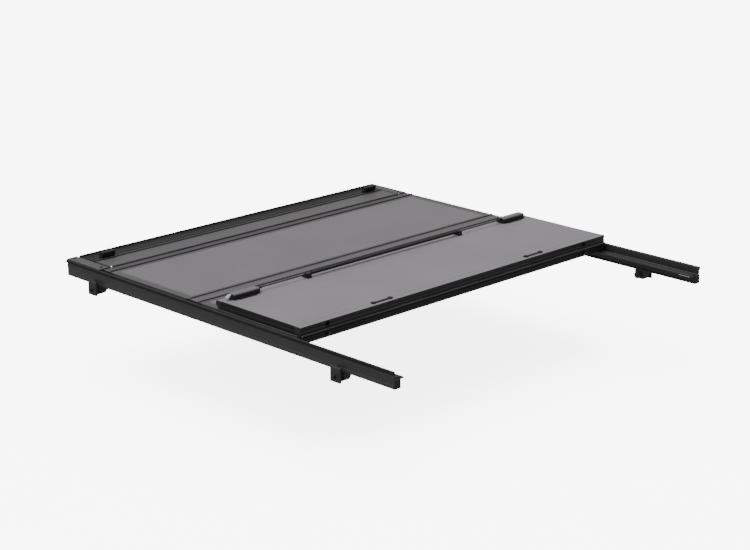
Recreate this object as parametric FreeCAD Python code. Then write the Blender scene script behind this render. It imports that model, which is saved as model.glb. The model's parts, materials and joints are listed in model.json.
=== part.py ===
import FreeCAD, Part
import math
import os

# A hard folding tonneau cover for a 5.5 ft pickup bed, in millimetres.
# X points to the right side of the bed, Y forward to the cab, Z up. The origin is the middle of the
# face that sits on the bulkhead, level with the top of the bed caps. The cover is drawn partly
# open, with panel 4 folded over onto panel 3.

# Heights
PANEL_TOP = 2.0
PANEL_BOTTOM = -26.0
LEDGE_TOP = -30.0
RAIL_TOP = -3.0
RAIL_BOTTOM = -61.0
SEAL_LOW = -14.0
PIVOT_Z = 3.25

# Half widths
PANEL_HALF = 775.0
FRAME_INNER = 746.0
SKIN_HALF = 773.0
PANEL_1_HALF = 737.0
LEDGE_INNER = 742.0
WALL_INNER = 780.0
WALL_OUTER = 784.0
SEAL_GRIP = 782.5
FOOT_INNER = 757.0
WEB_INNER = 764.0
BULB_X = 760.0
HEADER_SEAL_HALF = 740.0
RAIL_WALL = 3.0
RAIL_LIP = 2.5

# Places along the bed: hinge axes and ends
PIVOT_0 = -63.0
PIVOT_1_FRONT = -163.0
PIVOT_1_REAR = -206.0
PIVOT_2_FRONT = -647.0
PIVOT_2_REAR = -700.0
PIVOT_3 = -1217.0
PANEL_4_END = -1634.0
RAIL_FRONT = 40.0
RAIL_REAR = -1645.0
BLOCK_REAR = -156.0

# Hinges: half the gap, the barrel, its pin and the running clearance between them
HINGE_GAP = 4.25
BARREL_R = 3.6
PIN_R = 1.75
RUNNING = 0.05
KNUCKLES = 11
KNUCKLE_END_GAP = 0.4

# Header
SEAT_HALF = 15.0
HEADER_THICK = 2.5
HEADER_BOTTOM = -30.0
BUMPER_X = 672.0
BUMPER_HALF = 30.0
BUMPER_FRONT = -44.0
BUMPER_TOP = 28.0
HEADER_BULB_R = 4.5
BLOCK_SCREW_X = 763.0
BLOCK_SCREW_R = 3.0

# Sandwich panels
SKIN_THICK = 1.2
BACK_SKIN = 1.0
SKIN_DROP = 0.6
GROOVE_TOP = -9.0
GROOVE_LOW = -15.0
STRIP_LOW = -1.0
STRIP_WEB_LOW = -8.0
RAIL_WIDTH = 15.0
PANEL_4_FRONT_RAIL = 28.0
PANEL_4_REAR_RAIL = 22.0
TUBE_WALL = 2.5
CORE_PITCH = 20.0
CORE_WALL = 1.0

# Latches, in the closed position under panel 4
LATCH_Y = -1608.0
LATCH_INNER = 622.0
LATCH_OUTER = 738.0
LATCH_HALF = 18.0
LATCH_EAR_HALF = 25.0
LATCH_TALL = 20.0
BOLT_DROP = 14.0
BOLT_INNER = 694.0
BOLT_TIP = 756.0
BOLT_HALF = 7.0
BOLT_HALF_TALL = 4.5
STEM_INNER = 650.0
STEM_R = 2.5
SPRING_R = 4.6
SPRING_WIRE_R = 0.6
SPRING_TURNS = 9
SPRING_RUNS = 12
CABLE_R = 2.0
SLEEVE_R = 6.0
SLEEVE_HALF = 370.0
CLIP_X = 385.0
FERRULE_R = 4.5

# The thin rests beside panel 4's hinge
REST_INNER = 345.0
REST_OUTER = 430.0
REST_END = 14.0

# Prop rods under panel 2
PROP_X = 728.0
PROP_PIVOT_Y = -232.0
PROP_PIVOT_Z = -33.0
PROP_LENGTH = 395.0
PROP_R = 4.0
EYE_R = 7.0
AXLE_R = 2.5
FORK_INNER = 736.6
FORK_OUTER = 740.6
STUD_Z = -45.0
STUD_R = 3.0
HEADER_LIFT = 84.0
LINK_1_LIFT = 3.0

# Bed clamps
CLAMP_Y = (-130.0, -1400.0)
CLAMP_HALF = 22.0
CLAMP_INNER = 754.0
CLAMP_OUTER = 783.0
CLAMP_BOTTOM = -90.0
JAW_FACE = 794.0
JAW_TOP = -46.0
JAW_BOTTOM = -96.0
TONGUE_HALF = 10.0
SCREW_Z = -76.0
SCREW_R = 5.0
SCREW_END = 812.0
KNOB_R = 14.0
KNOB_INNER = 737.0
KNOB_OUTER = 751.0
LOBES = 6
LOBE_R = 4.0

# Knobs that line panel 4 up with panel 3
GUIDE_X = 655.0
GUIDE_Z = -13.0
GUIDE_R = 6.0

X_AXIS = FreeCAD.Vector(1, 0, 0)
Y_AXIS = FreeCAD.Vector(0, 1, 0)
Z_AXIS = FreeCAD.Vector(0, 0, 1)
SIDES = (("left", -1), ("right", 1))


def box(x, y, z):
    """A block between two values on each axis."""
    size = [abs(pair[1] - pair[0]) for pair in (x, y, z)]
    return Part.makeBox(*size, FreeCAD.Vector(min(x), min(y), min(z)))


def rod_x(y, z, radius, x0, x1):
    return Part.makeCylinder(radius, x1 - x0, FreeCAD.Vector(x0, y, z), X_AXIS)


def rod_y(x, z, radius, y0, y1):
    return Part.makeCylinder(radius, y1 - y0, FreeCAD.Vector(x, y0, z), Y_AXIS)


def rod_z(x, y, radius, z0, z1):
    return Part.makeCylinder(radius, z1 - z0, FreeCAD.Vector(x, y, z0), Z_AXIS)


def bar_y(outline, y0, y1):
    """A section given as (x, z) points, pushed along Y."""
    points = [FreeCAD.Vector(x, y0, z) for x, z in outline]
    face = Part.Face(Part.makePolygon(points + points[:1]))
    return face.extrude(FreeCAD.Vector(0, y1 - y0, 0))


def bar_x(outline, x0, x1):
    """A section given as (y, z) points, pushed along X."""
    points = [FreeCAD.Vector(x0, y, z) for y, z in outline]
    face = Part.Face(Part.makePolygon(points + points[:1]))
    return face.extrude(FreeCAD.Vector(x1 - x0, 0, 0))


def fused(shapes):
    """Several overlapping shapes as one clean solid."""
    whole = shapes[0].multiFuse(shapes[1:]) if len(shapes) > 1 else shapes[0]
    return whole.removeSplitter()


def mirrored(shape):
    return shape.mirror(FreeCAD.Vector(0, 0, 0), X_AXIS)


def on_side(shape, side):
    """A shape drawn on the right, taken to its own side."""
    return shape if side > 0 else mirrored(shape)


def both(shape):
    return [shape, mirrored(shape)]


def folded(shape):
    """Panel 4 turned over about its hinge, from closed to lying on panel 3."""
    turned = shape.copy()
    turned.rotate(FreeCAD.Vector(0, PIVOT_3, PIVOT_Z), X_AXIS, 180)
    return turned


def save(name, shapes):
    """One node: a STEP file with its separate solids."""
    solids = [solid for shape in shapes for solid in shape.Solids]
    whole = solids[0] if len(solids) == 1 else Part.makeCompound(solids)
    if not whole.isValid():
        raise ValueError(name + " is not valid")
    whole.exportStep("parts/" + name + ".step")


# Hinges


def knuckles(pivot_y, half, forward):
    """Every other barrel of a piano hinge, each with its leaf. A forward leaf reaches towards the cab."""
    step = 2 * half / KNUCKLES
    reach = HINGE_GAP + 1.0
    low = PIVOT_Z - BARREL_R
    made = []
    for i in range(0 if forward else 1, KNUCKLES, 2):
        x0 = -half + i * step + KNUCKLE_END_GAP
        x1 = -half + (i + 1) * step - KNUCKLE_END_GAP
        leaf_y = (pivot_y, pivot_y + reach) if forward else (pivot_y - reach, pivot_y)
        made.append(rod_x(pivot_y, PIVOT_Z, BARREL_R, x0, x1))
        made.append(box((x0, x1), leaf_y, (low, PANEL_TOP)))
    return made


def hinged(body, hinges):
    """Fuses a rail with the knuckles of its hinges and bores them for the pins."""
    made = [body]
    for pivot_y, half, forward in hinges:
        made += knuckles(pivot_y, half, forward)
    whole = fused(made)
    for pivot_y, half, _ in hinges:
        bore = rod_x(pivot_y, PIVOT_Z, PIN_R + RUNNING, -half - 1, half + 1)
        whole = whole.cut(bore)
    return whole


def pin(pivot_y, half):
    return rod_x(pivot_y, PIVOT_Z, PIN_R, -half, half)


def tube_x(y0, y1, half, z0=PANEL_BOTTOM, z1=PANEL_TOP):
    """A hollow cross rail with a rolled groove along both faces."""
    mid = (z0 + z1) / 2
    groove = 3.0
    depth = 1.0
    low, high = min(y0, y1), max(y0, y1)
    outer = bar_x(
        [
            (low, z0 + 1.5),
            (low, mid - groove),
            (low + depth, mid - groove + depth),
            (low + depth, mid + groove - depth),
            (low, mid + groove),
            (low, z1 - 0.8),
            (low + 0.8, z1),
            (high - 0.8, z1),
            (high, z1 - 0.8),
            (high, mid + groove),
            (high - depth, mid + groove - depth),
            (high - depth, mid - groove + depth),
            (high, mid - groove),
            (high, z0 + 1.5),
            (high - 1.5, z0),
            (low + 1.5, z0),
        ],
        -half,
        half,
    )
    wall = TUBE_WALL + depth
    hollow = box((-half - 1, half + 1), (low + wall, high - wall), (z0 + TUBE_WALL, z1 - TUBE_WALL))
    return outer.cut(hollow)


# Side rails and what is fixed to them


def side_rail():
    """The right rail: a ledge for the panels over a closed chamber."""
    ledge_bottom = LEDGE_TOP - RAIL_WALL
    floor = RAIL_BOTTOM + RAIL_WALL
    section = [
        (LEDGE_INNER, ledge_bottom),
        (LEDGE_INNER, LEDGE_TOP + RAIL_LIP),
        (LEDGE_INNER + RAIL_LIP, LEDGE_TOP + RAIL_LIP),
        (LEDGE_INNER + RAIL_LIP, LEDGE_TOP),
        (WALL_INNER, LEDGE_TOP),
        (WALL_INNER, RAIL_BOTTOM),
        (FOOT_INNER, RAIL_BOTTOM),
        (FOOT_INNER, floor),
        (WEB_INNER, floor),
        (WEB_INNER, ledge_bottom),
    ]
    rail = bar_y(section, RAIL_REAR, RAIL_FRONT)
    chamber = box(
        (WEB_INNER + RAIL_WALL, WALL_INNER - RAIL_LIP),
        (RAIL_REAR - 1, RAIL_FRONT + 1),
        (floor, ledge_bottom),
    )
    stud_hole = rod_x(stud_y(), STUD_Z, STUD_R, WEB_INNER - 1, WEB_INNER + RAIL_WALL + 1)
    return rail.cut(chamber).cut(stud_hole)


def rail_flange():
    """The plate bolted outside the right rail. Its top is thinner, where the lip seal grips it."""
    section = [
        (WALL_INNER, RAIL_BOTTOM),
        (WALL_INNER, RAIL_TOP),
        (SEAL_GRIP, RAIL_TOP),
        (SEAL_GRIP, SEAL_LOW),
        (WALL_OUTER, SEAL_LOW),
        (WALL_OUTER, RAIL_BOTTOM),
    ]
    return bar_y(section, RAIL_REAR, RAIL_FRONT)


def rail_seals():
    """A bulb under the panels' edges and a lip against the bed cap, for the right rail."""
    bulb_top = PANEL_BOTTOM - 0.4
    bulb = bar_y(
        [
            (BULB_X - 11, LEDGE_TOP),
            (BULB_X - 11, LEDGE_TOP + 1.4),
            (BULB_X - 8, bulb_top - 0.7),
            (BULB_X - 4, bulb_top),
            (BULB_X + 4, bulb_top),
            (BULB_X + 8, bulb_top - 0.7),
            (BULB_X + 11, LEDGE_TOP + 1.4),
            (BULB_X + 11, LEDGE_TOP),
        ],
        RAIL_REAR + 5,
        BLOCK_REAR - 2,
    )
    lip = bar_y(
        [
            (SEAL_GRIP, SEAL_LOW + 0.5),
            (WALL_OUTER + 3.5, SEAL_LOW + 2),
            (WALL_OUTER + 5.5, SEAL_LOW + 6),
            (WALL_OUTER + 5.5, RAIL_TOP - 0.5),
            (WALL_OUTER + 4, RAIL_TOP + 1.6),
            (WALL_OUTER + 1.5, RAIL_TOP + 2),
            (WALL_OUTER + 0.2, RAIL_TOP),
            (SEAL_GRIP, RAIL_TOP),
        ],
        RAIL_REAR,
        RAIL_FRONT,
    )
    return [bulb, lip]


def rail_end_cap():
    """The plug that closes the right rail's chamber at the tailgate."""
    plate = box((FOOT_INNER, WALL_OUTER), (RAIL_REAR - 3, RAIL_REAR), (RAIL_BOTTOM, LEDGE_TOP))
    wall = RAIL_WALL + 0.5
    plug = box(
        (WEB_INNER + wall, WALL_INNER - 3),
        (RAIL_REAR - 1, RAIL_REAR + 12),
        (RAIL_BOTTOM + wall, LEDGE_TOP - wall),
    )
    return fused([plate, plug])


def latch_striker():
    """The steel plate under the ledge that a bolt catches."""
    x = (LEDGE_INNER + 0.5, WEB_INNER - 2)
    top = LEDGE_TOP - RAIL_WALL
    return box(x, (LATCH_Y - 24, LATCH_Y + 24), (top - 2, top))


def clamp_body(y):
    """A cast block bolted under the right rail, bored for the clamp screw."""
    block = bar_y(
        [
            (CLAMP_INNER, RAIL_BOTTOM),
            (CLAMP_OUTER, RAIL_BOTTOM),
            (CLAMP_OUTER, CLAMP_BOTTOM + 16),
            (CLAMP_OUTER - 4, CLAMP_BOTTOM),
            (CLAMP_INNER + 4, CLAMP_BOTTOM),
            (CLAMP_INNER, CLAMP_BOTTOM + 6),
        ],
        y - CLAMP_HALF,
        y + CLAMP_HALF,
    )
    return block.cut(rod_x(y, SCREW_Z, SCREW_R + RUNNING, CLAMP_INNER - 4, CLAMP_OUTER + 7))


def clamp_jaw(y):
    """The outer jaw, with a tongue under the clamp body that keeps it from turning."""
    section = [
        (JAW_FACE, JAW_TOP),
        (JAW_FACE + 5, JAW_TOP),
        (JAW_FACE + 8, JAW_TOP - 6),
        (JAW_FACE + 8, JAW_BOTTOM),
        (JAW_FACE, JAW_BOTTOM),
    ]
    upright = bar_y(section, y - CLAMP_HALF, y + CLAMP_HALF)
    across = (CLAMP_INNER + 8, JAW_FACE + 1)
    tongue = box(across, (y - TONGUE_HALF, y + TONGUE_HALF), (JAW_BOTTOM, CLAMP_BOTTOM - 0.5))
    jaw = fused([upright, tongue])
    return jaw.cut(rod_x(y, SCREW_Z, SCREW_R + RUNNING, JAW_FACE - 4, JAW_FACE + 12))


def clamp_knob(y):
    """The clamp screw and its lobed hand knob."""
    shaft = rod_x(y, SCREW_Z, SCREW_R, KNOB_OUTER - 6, SCREW_END)
    knob = rod_x(y, SCREW_Z, KNOB_R - 2, KNOB_INNER, KNOB_OUTER)
    reach = KNOB_R - LOBE_R
    lobes = []
    for i in range(LOBES):
        turn = 2 * math.pi * i / LOBES
        lobe_y = y + reach * math.cos(turn)
        lobe_z = SCREW_Z + reach * math.sin(turn)
        lobes.append(rod_x(lobe_y, lobe_z, LOBE_R, KNOB_INNER + 1, KNOB_OUTER - 1))
    return fused([knob, shaft] + lobes)


# Header


def header_beam():
    """A flange that sits on the bulkhead, and a hollow beam that carries the first hinge."""
    rear = PIVOT_0 + HINGE_GAP
    top = HEADER_THICK
    flange = box((-LEDGE_INNER, LEDGE_INNER), (-SEAT_HALF, SEAT_HALF), (0, top))
    outer = box((-PANEL_1_HALF, PANEL_1_HALF), (rear, -SEAT_HALF), (HEADER_BOTTOM, top))
    hollow = box(
        (-PANEL_1_HALF - 1, PANEL_1_HALF + 1),
        (rear + TUBE_WALL, -SEAT_HALF - TUBE_WALL),
        (HEADER_BOTTOM + TUBE_WALL, top - TUBE_WALL),
    )
    return hinged(fused([flange, outer]).cut(hollow), [(PIVOT_0, PANEL_1_HALF - 4, True)])


def header_end_block():
    """The right corner piece that joins the header to its rail."""
    corner = 0.8
    section = [
        (LEDGE_INNER, LEDGE_TOP + RAIL_LIP),
        (LEDGE_INNER + RAIL_LIP, LEDGE_TOP + RAIL_LIP),
        (LEDGE_INNER + RAIL_LIP, LEDGE_TOP),
        (WALL_INNER, LEDGE_TOP),
        (WALL_INNER, RAIL_TOP),
        (WALL_OUTER, RAIL_TOP),
        (WALL_OUTER, PANEL_TOP - corner),
        (WALL_OUTER - corner, PANEL_TOP),
        (LEDGE_INNER + corner, PANEL_TOP),
        (LEDGE_INNER, PANEL_TOP - corner),
    ]
    block = bar_y(section, BLOCK_REAR, RAIL_FRONT)
    for y in block_screws():
        block = block.cut(rod_z(BLOCK_SCREW_X, y, BLOCK_SCREW_R, PANEL_TOP - 15, PANEL_TOP + 1))
    return block


def block_screws():
    return (RAIL_FRONT - 18, BLOCK_REAR + 20)


def header_bumper():
    """A rubber block that panel 1 leans on when the folded stack stands up. Its rear face has the slope of
    the raised panel."""
    lean = math.tan(math.radians(90 - HEADER_LIFT))
    rear_low = PIVOT_0 - 1.3
    section = [
        (BUMPER_FRONT, HEADER_THICK),
        (BUMPER_FRONT, BUMPER_TOP - 6),
        (BUMPER_FRONT - 4, BUMPER_TOP),
        (rear_low - lean * (BUMPER_TOP - 12) + 2, BUMPER_TOP),
        (rear_low - lean * (BUMPER_TOP - 14), BUMPER_TOP - 2),
        (rear_low, HEADER_THICK + 8.5),
        (BUMPER_FRONT - 14, HEADER_THICK + 6),
        (BUMPER_FRONT - 14, HEADER_THICK),
    ]
    return bar_x(section, BUMPER_X - BUMPER_HALF, BUMPER_X + BUMPER_HALF)


def bulkhead_seal():
    """A bulb along the header's front edge that closes the gap to the cab side."""
    half = HEADER_SEAL_HALF
    foot = box((-half, half), (SEAT_HALF, SEAT_HALF + 5), (0, HEADER_THICK))
    bulb = rod_x(SEAT_HALF + 5.5, HEADER_BULB_R, HEADER_BULB_R, -half, half)
    return fused([foot, bulb])


# Panel 1 and the double hinge behind it


def panel_1_plate():
    half = PANEL_1_HALF - 4
    tube = tube_x(PIVOT_0 - HINGE_GAP, PIVOT_1_FRONT + HINGE_GAP, half)
    return hinged(tube, [(PIVOT_0, half, False), (PIVOT_1_FRONT, half, True)])


def panel_1_end_cap():
    y = (PIVOT_0 - HINGE_GAP, PIVOT_1_FRONT + HINGE_GAP)
    plate = box((PANEL_1_HALF - 4, PANEL_1_HALF), y, (PANEL_BOTTOM, PANEL_TOP))
    inset = TUBE_WALL + 1.5
    plug = box(
        (PANEL_1_HALF - 18, PANEL_1_HALF - 3),
        (y[0] - inset, y[1] + inset),
        (PANEL_BOTTOM + 3, PANEL_TOP - 3),
    )
    return fused([plate, plug])


def hinge_link(front, rear, front_half, rear_half):
    """The strip between the two axes of a double hinge: a thin top with a stiffening web below."""
    y0 = front - HINGE_GAP
    y1 = rear + HINGE_GAP
    section = [
        (y0, PANEL_TOP),
        (y0, STRIP_WEB_LOW),
        (y0 - 3, STRIP_WEB_LOW),
        (y0 - 3, STRIP_LOW),
        (y1 + 3, STRIP_LOW),
        (y1 + 3, STRIP_WEB_LOW),
        (y1, STRIP_WEB_LOW),
        (y1, PANEL_TOP),
    ]
    strip = bar_x(section, -PANEL_HALF + 1, PANEL_HALF - 1)
    return hinged(strip, [(front, front_half, False), (rear, rear_half, True)])


# Sandwich panels


class Panel:
    """A sandwich panel: core and two skins inside two side frames and two cross rails."""

    def __init__(self, front, rear, front_rail, rear_rail):
        self.front = front
        self.rear = rear
        self.inner = (rear + rear_rail, front - front_rail)

    def core(self):
        """A twin wall sheet with channels from side to side."""
        low, high = self.inner
        z = (PANEL_BOTTOM + BACK_SKIN, PANEL_TOP - SKIN_DROP - SKIN_THICK)
        sheet = box((-FRAME_INNER, FRAME_INNER), (low, high), z)
        count = int((high - low) // CORE_PITCH)
        pitch = (high - low - CORE_WALL) / count
        channels = [
            box(
                (-FRAME_INNER - 1, FRAME_INNER + 1),
                (low + CORE_WALL + i * pitch, low + (i + 1) * pitch),
                (z[0] + CORE_WALL, z[1] - CORE_WALL),
            )
            for i in range(count)
        ]
        return sheet.cut(Part.makeCompound(channels))

    def top_skin(self):
        top = PANEL_TOP - SKIN_DROP
        return box((-FRAME_INNER, FRAME_INNER), self.inner, (top - SKIN_THICK, top))

    def bottom_skin(self):
        return box((-SKIN_HALF, SKIN_HALF), self.inner, (PANEL_BOTTOM, PANEL_BOTTOM + BACK_SKIN))

    def side_frame(self):
        """A box section along the right edge, with a groove in its outer face."""
        low = PANEL_BOTTOM + BACK_SKIN
        depth = 1.2
        section = [
            (FRAME_INNER, low),
            (FRAME_INNER, PANEL_TOP),
            (PANEL_HALF - depth, PANEL_TOP),
            (PANEL_HALF, PANEL_TOP - depth),
            (PANEL_HALF, GROOVE_TOP),
            (PANEL_HALF - depth, GROOVE_TOP - 1),
            (PANEL_HALF - depth, GROOVE_LOW + 1),
            (PANEL_HALF, GROOVE_LOW),
            (PANEL_HALF, low),
        ]
        hollow = box(
            (FRAME_INNER + TUBE_WALL, PANEL_HALF - TUBE_WALL - depth),
            (self.inner[0] - 1, self.inner[1] + 1),
            (low + TUBE_WALL, PANEL_TOP - TUBE_WALL),
        )
        return bar_y(section, *self.inner).cut(hollow)

    def save(self, name, front_rail, rear_rail, place=lambda shape: shape):
        save(name + "_core", [place(self.core())])
        save(name + "_top_skin", [place(self.top_skin())])
        save(name + "_bottom_skin", [place(self.bottom_skin())])
        save(name + "_side_frames", [place(shape) for shape in both(self.side_frame())])
        save(name + "_front_rail", [place(front_rail)])
        save(name + "_rear_rail", [place(rear_rail)])


def panel_2():
    panel = Panel(PIVOT_1_REAR - HINGE_GAP, PIVOT_2_FRONT + HINGE_GAP, RAIL_WIDTH, RAIL_WIDTH)
    half = PANEL_HALF
    front = hinged(tube_x(panel.front, panel.inner[1], half), [(PIVOT_1_REAR, half - 2, False)])
    rear = hinged(tube_x(panel.inner[0], panel.rear, half), [(PIVOT_2_FRONT, half - 2, True)])
    panel.save("panel_2", front, rear)


def panel_3():
    panel = Panel(PIVOT_2_REAR - HINGE_GAP, PIVOT_3 + HINGE_GAP, RAIL_WIDTH, RAIL_WIDTH)
    half = PANEL_HALF
    front = hinged(tube_x(panel.front, panel.inner[1], half), [(PIVOT_2_REAR, half - 2, False)])
    rear = hinged(tube_x(panel.inner[0], panel.rear, half), [(PIVOT_3, half - 2, True)])
    panel.save("panel_3", front, rear)


def panel_4():
    """Drawn closed, then turned over. Two windows in its front face let in the guide knobs of panel 3."""
    panel = Panel(PIVOT_3 - HINGE_GAP, PANEL_4_END, PANEL_4_FRONT_RAIL, PANEL_4_REAR_RAIL)
    half = PANEL_HALF
    front = hinged(tube_x(panel.front, panel.inner[1], half), [(PIVOT_3, half - 2, False)])
    reach = GUIDE_R + 3
    window = box(
        (GUIDE_X - reach, GUIDE_X + reach),
        (panel.front - 10, panel.front + 1),
        (GUIDE_Z - GUIDE_R - 2.5, GUIDE_Z + GUIDE_R + 1.5),
    )
    front = front.cut(Part.makeCompound(both(window)))
    rear = tube_x(panel.inner[0], panel.rear, half)
    panel.save("panel_4", front, rear, folded)


def guide_knob():
    """A tapered rubber knob on the rear face of panel 3, right side."""
    start = PIVOT_3 + HINGE_GAP
    base = rod_y(GUIDE_X, GUIDE_Z, GUIDE_R, start - 12.5, start)
    place = FreeCAD.Vector(GUIDE_X, start - 12.5, GUIDE_Z)
    tip = Part.makeCone(GUIDE_R, GUIDE_R - 2, 4.5, place, FreeCAD.Vector(0, -1, 0))
    return fused([base, tip])


# What panel 4 carries, drawn closed


def tailgate_seal():
    """A soft strip along the rear edge that meets the tailgate."""
    y = PANEL_4_END
    top = PANEL_TOP - 5
    low = PANEL_BOTTOM + 3
    section = [
        (y, top),
        (y - 4, top),
        (y - 9, top - 3),
        (y - 12, top - 8),
        (y - 12, low + 8),
        (y - 9, low + 3),
        (y - 4, low),
        (y, low),
    ]
    return bar_x(section, -PANEL_HALF + 4, PANEL_HALF - 4)


def latch_housing():
    """The right latch's cover: rounded over the bolt, with two ears for its screws."""
    base = PANEL_BOTTOM
    low = base - LATCH_TALL
    shell = bar_x(
        [
            (LATCH_Y - LATCH_HALF, base),
            (LATCH_Y - LATCH_HALF, low + 7),
            (LATCH_Y - LATCH_HALF + 2, low + 3),
            (LATCH_Y - LATCH_HALF + 6, low),
            (LATCH_Y + LATCH_HALF - 6, low),
            (LATCH_Y + LATCH_HALF - 2, low + 3),
            (LATCH_Y + LATCH_HALF, low + 7),
            (LATCH_Y + LATCH_HALF, base),
        ],
        LATCH_INNER,
        LATCH_OUTER,
    )
    ears = box(
        (LATCH_INNER + 20, LATCH_OUTER - 20),
        (LATCH_Y - LATCH_EAR_HALF, LATCH_Y + LATCH_EAR_HALF),
        (base - 2.5, base),
    )
    cavity = box(
        (LATCH_INNER + 4, LATCH_OUTER + 1),
        (LATCH_Y - BOLT_HALF - 0.4, LATCH_Y + BOLT_HALF + 0.4),
        (base - BOLT_DROP - 5.2, base - BOLT_DROP + 5.2),
    )
    inlet = rod_x(LATCH_Y, base - BOLT_DROP, CABLE_R + 0.3, LATCH_INNER - 1, LATCH_INNER + 5)
    housing = fused([shell, ears]).cut(cavity).cut(inlet)
    for x, y in latch_screws():
        housing = housing.cut(rod_z(x, y, 2, base - 3, base + 1))
    return housing


def latch_screws():
    reach = LATCH_HALF + 3.5
    return [(x, LATCH_Y + y) for x in (LATCH_INNER + 28, LATCH_OUTER - 28) for y in (-reach, reach)]


def latch_bolt():
    """The right spring bolt. Its tip is sloped on the underside, so that it slides over the ledge."""
    z = PANEL_BOTTOM - BOLT_DROP
    slope = 12
    outline = [
        (BOLT_INNER, z + BOLT_HALF_TALL),
        (BOLT_TIP, z + BOLT_HALF_TALL),
        (BOLT_TIP, z + BOLT_HALF_TALL - 2),
        (BOLT_TIP - slope, z - BOLT_HALF_TALL),
        (BOLT_INNER, z - BOLT_HALF_TALL),
    ]
    head = bar_y(outline, LATCH_Y - BOLT_HALF, LATCH_Y + BOLT_HALF)
    return fused([head, rod_x(LATCH_Y, z, STEM_R, STEM_INNER, BOLT_INNER + 1)])


def latch_spring():
    """The coil round the bolt's stem, right side, as short straight runs of wire."""
    start = LATCH_INNER + 5.5
    length = BOLT_INNER - 1 - start
    count = SPRING_TURNS * SPRING_RUNS
    points = []
    for i in range(count + 1):
        turn = 2 * math.pi * i / SPRING_RUNS
        x = start + length * i / count
        y = LATCH_Y + SPRING_R * math.cos(turn)
        z = PANEL_BOTTOM - BOLT_DROP + SPRING_R * math.sin(turn)
        points.append(FreeCAD.Vector(x, y, z))
    wire = Part.Circle(points[0], points[1] - points[0], SPRING_WIRE_R)
    sweep = Part.BRepOffsetAPI.MakePipeShell(Part.makePolygon(points))
    sweep.setTransitionMode(1)
    sweep.setFrenetMode(False)
    sweep.add(Part.Wire(wire.toShape()), False, True)
    sweep.build()
    sweep.makeSolid()
    return sweep.shape()


def release_cable():
    """The wire from its clip to the right latch, with a ferrule at its end."""
    z = PANEL_BOTTOM - BOLT_DROP
    wire = rod_x(LATCH_Y, z, CABLE_R, CLIP_X - 8, LATCH_INNER + 9)
    ferrule = rod_x(LATCH_Y, z, FERRULE_R, LATCH_INNER - 20, LATCH_INNER - 5)
    return fused([wire, ferrule])


def release_sleeve():
    """The grip moulded round the middle of the wire, which is pulled to open both latches."""
    z = PANEL_BOTTOM - BOLT_DROP
    grip = rod_x(LATCH_Y, z, SLEEVE_R, -SLEEVE_HALF, SLEEVE_HALF)
    return fused([grip, rod_x(LATCH_Y, z, CABLE_R, -SLEEVE_HALF - 3, SLEEVE_HALF + 3)])


def cable_clip():
    """The right clip that holds the wire beside the sleeve."""
    z = PANEL_BOTTOM - BOLT_DROP
    section = [
        (LATCH_Y + 12, PANEL_BOTTOM),
        (LATCH_Y + 9, z - 3),
        (LATCH_Y + 5, z - 5),
        (LATCH_Y - 5, z - 5),
        (LATCH_Y - 20, PANEL_BOTTOM - 4),
        (LATCH_Y - 24, PANEL_BOTTOM),
    ]
    clip = bar_x(section, CLIP_X - 9, CLIP_X + 9)
    return clip.cut(rod_x(LATCH_Y, z, CABLE_R + 0.2, CLIP_X - 10, CLIP_X + 10))


def fold_bumper():
    """A thin rest with thick ends near the hinge, right side."""
    front = PIVOT_3 - HINGE_GAP - 14
    rear = front - 10
    made = [box((REST_INNER, REST_OUTER), (front, rear), (PANEL_BOTTOM - 3, PANEL_BOTTOM))]
    for x in (REST_INNER - 4, REST_OUTER + 4 - REST_END):
        made.append(box((x, x + REST_END), (front + 2, rear - 2), (PANEL_BOTTOM - 5, PANEL_BOTTOM)))
    return fused(made)


def panel_4_screws():
    """Domed screws for the two latches."""
    made = []
    for x, y in latch_screws():
        shank = rod_z(x, y, 1.9, PANEL_BOTTOM - 3, PANEL_BOTTOM - 0.2)
        head = rod_z(x, y, 3.5, PANEL_BOTTOM - 4.3, PANEL_BOTTOM - 2.5)
        made += both(fused([shank, head]))
    return made


# Prop rods


def turned(point, centre_y, centre_z, degrees):
    """A (y, z) point lifted about an X axis, its rear end rising."""
    turn = math.radians(degrees)
    dy = point[0] - centre_y
    dz = point[1] - centre_z
    y = centre_y + dy * math.cos(turn) + dz * math.sin(turn)
    z = centre_z - dy * math.sin(turn) + dz * math.cos(turn)
    return y, z


def raised_prop_pivot():
    """Where the prop rods' pivot is when the stack stands at the cab."""
    point = turned((PROP_PIVOT_Y, PROP_PIVOT_Z), PIVOT_1_REAR, PIVOT_Z, LINK_1_LIFT)
    point = turned(point, PIVOT_1_FRONT, PIVOT_Z, LINK_1_LIFT)
    return turned(point, PIVOT_0, PIVOT_Z, HEADER_LIFT)


def stud_y():
    """Where a deployed prop rod meets the height of its stud."""
    y, z = raised_prop_pivot()
    return y - math.sqrt(PROP_LENGTH**2 - (z - STUD_Z) ** 2)


def prop_swing():
    """The angle from the stowed rod to the deployed one, with panel 2 upright."""
    _, z = raised_prop_pivot()
    return 90 + math.degrees(math.asin((z - STUD_Z) / PROP_LENGTH))


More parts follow.
